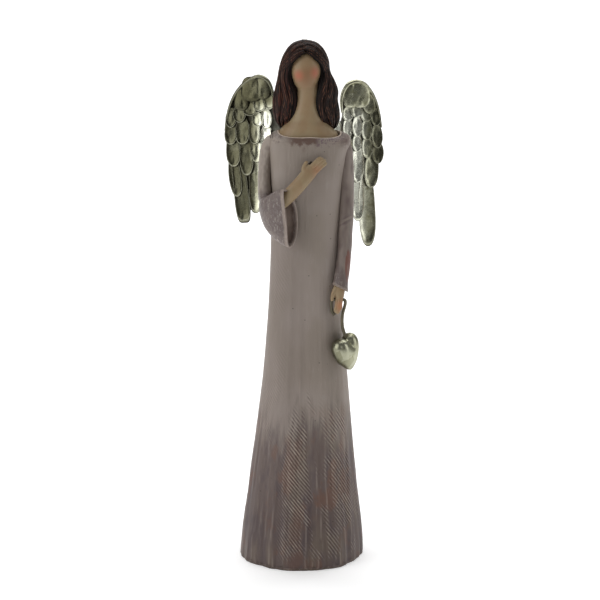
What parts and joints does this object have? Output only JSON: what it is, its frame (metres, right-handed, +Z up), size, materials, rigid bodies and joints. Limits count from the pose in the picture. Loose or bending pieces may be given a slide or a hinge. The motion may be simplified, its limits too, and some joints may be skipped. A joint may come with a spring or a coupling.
{
  "type": "angel figurine",
  "caption": "Standing faceless angel in cast resin: flared gown, one hand on the chest, leafed wings, and a puffed heart hanging on a wire from the other hand.",
  "frame": {"origin": "middle of the underside, on the surface the figure stands on", "axes": "+Z up, the figure faces -Y, +X towards the figure's left hand"},
  "size_m": [0.0958, 0.0738, 0.3],
  "materials": {
    "gown_paint": "washed and dry-brushed matt paint on cast resin",
    "skin_paint": "satin paint on cast resin",
    "hair_paint": "satin paint on cast resin",
    "metal_leaf": "champagne metal leaf with a dark wash in the recesses, over cast resin",
    "wire": "dull bronze-coloured steel wire",
    "steel": "plain drawn steel",
    "resin": "bare cast resin"
  },
  "bodies": {
    "figure": {"gown": "gown_paint", "base_plug": "resin", "head_and_neck": "skin_paint", "neck_dowel": "steel", "hair": "hair_paint", "right_sleeve": "gown_paint", "right_forearm": "skin_paint", "left_sleeve": "gown_paint", "left_hand": "skin_paint", "sleeve_pins": "steel", "right_wing": "metal_leaf", "left_wing": "metal_leaf", "wing_pins": "steel"},
    "pendant": {"heart": "metal_leaf", "heart_wire": "wire"}
  },
  "joints": [
    {"name": "heart_swing", "type": "hinge", "parent": "figure", "child": "pendant", "pos_m": [0.0206, -0.0166, 0.155], "axis": [-1, 0, 0], "range_deg": [0, 25]}
  ]
}
